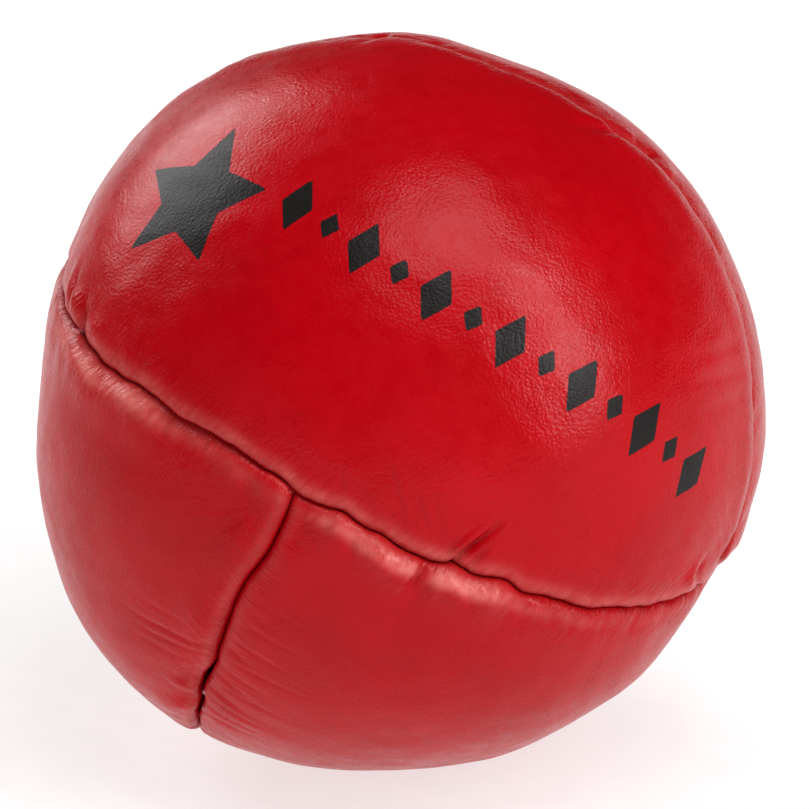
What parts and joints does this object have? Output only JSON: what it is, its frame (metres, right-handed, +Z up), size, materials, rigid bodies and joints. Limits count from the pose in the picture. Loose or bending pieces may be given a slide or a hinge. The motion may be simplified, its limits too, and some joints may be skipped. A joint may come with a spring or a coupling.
{
  "type": "juggling ball",
  "caption": "Soft stitched leather juggling ball: leaf panels in two halves sewn a quarter turn apart, filled with millet, settled on a small flat.",
  "frame": {"origin": "centre of the flat that the ball rests on", "axes": "+Z up from the resting flat through the ball's centre; the pole of the upper half leans 22.5 degrees from +Z towards +X; the T where the lower seam meets the girth seam faces -Y"},
  "size_m": [0.065, 0.0648, 0.0639],
  "materials": {
    "panel_leather": "satin",
    "seam_thread": "satin",
    "closing_thread": "satin",
    "millet": "satin"
  },
  "bodies": {
    "root": {"upper_front_panel": "panel_leather", "upper_back_panel": "panel_leather", "lower_left_panel": "panel_leather", "lower_right_panel": "panel_leather", "upper_seam_needle_thread": "seam_thread", "upper_seam_bobbin_thread": "seam_thread", "lower_seam_needle_thread": "seam_thread", "lower_seam_bobbin_thread": "seam_thread", "girth_seam_needle_thread": "seam_thread", "girth_seam_bobbin_thread": "seam_thread", "closing_stitch_thread": "closing_thread", "millet_filling": "millet"}
  },
  "joints": []
}
